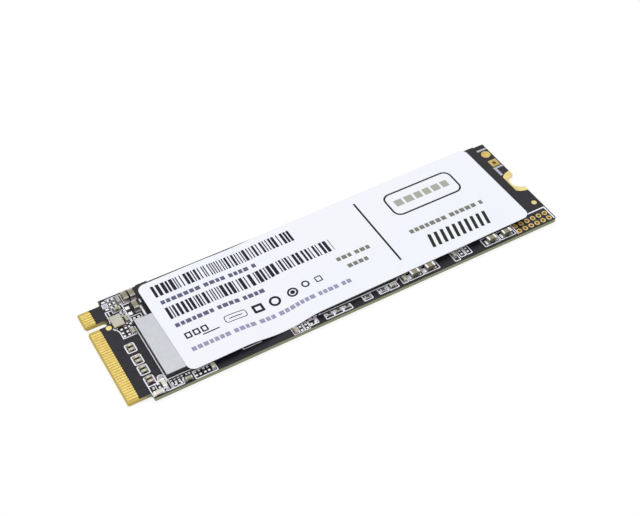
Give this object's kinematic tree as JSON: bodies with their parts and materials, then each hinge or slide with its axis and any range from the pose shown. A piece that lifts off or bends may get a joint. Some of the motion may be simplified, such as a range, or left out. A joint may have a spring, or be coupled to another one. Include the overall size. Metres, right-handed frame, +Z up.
{
  "type": "solid-state drive card",
  "caption": "Keyed 22 by 80 mm circuit card with a gold edge connector, a half-round screw notch, flat chip packages, small chip parts and a wide white label: a plug-in flash drive.",
  "frame": {"origin": "middle of the card's outline, at the underside of the lands on its back", "axes": "+X along the card from the edge connector to the screw notch, +Y to the far long side, +Z up out of the populated face"},
  "size_m": [0.08, 0.0222, 0.0018],
  "materials": {
    "solder_mask": "satin black lacquer over glass laminate",
    "gold_plate": "thin gold over nickel and copper",
    "solder": "bright tin solder",
    "tin_plate": "dull tin plate",
    "nickel_lid": "satin nickel",
    "package_laminate": "dark laminate",
    "mould_compound": "fine matt black",
    "crystal_ceramic": "unglazed ceramic",
    "capacitor_ceramic": "fired brown ceramic",
    "ferrite": "dark grey moulded powder",
    "fuse_ceramic": "cream ceramic",
    "alumina": "white ceramic",
    "resistor_glaze": "black glass glaze",
    "label_film": "white printed film"
  },
  "bodies": {
    "root": {"bypass_capacitor_terminals": "tin_plate", "bypass_capacitors": "capacitor_ceramic", "circuit_board": "solder_mask", "controller_lid": "nickel_lid", "controller_mould": "mould_compound", "controller_substrate": "package_laminate", "coupling_capacitor_terminals": "tin_plate", "coupling_capacitors": "capacitor_ceramic", "crystal_base": "crystal_ceramic", "crystal_lid": "nickel_lid", "crystal_seal_ring": "gold_plate", "edge_contacts_bottom": "gold_plate", "edge_contacts_top": "gold_plate", "fiducials": "gold_plate", "flash_a_mould": "mould_compound", "flash_a_substrate": "package_laminate", "flash_b_mould": "mould_compound", "flash_b_substrate": "package_laminate", "header_lands": "gold_plate", "input_fuse_terminals": "tin_plate", "input_fuses": "fuse_ceramic", "label": "label_film", "mounting_land": "gold_plate", "power_inductor_terminals": "tin_plate", "power_inductors": "ferrite", "power_regulator": "mould_compound", "rail_capacitor_terminals": "tin_plate", "rail_capacitors": "capacitor_ceramic", "regulator_capacitor_terminals": "tin_plate", "regulator_capacitors": "capacitor_ceramic", "round_test_land": "gold_plate", "solder_lands": "solder", "square_test_land": "gold_plate", "strap_resistor_coats": "resistor_glaze", "strap_resistor_terminals": "tin_plate", "strap_resistors": "alumina", "trim_resistor_coats": "resistor_glaze", "trim_resistor_terminals": "tin_plate", "trim_resistors": "alumina"}
  },
  "joints": []
}
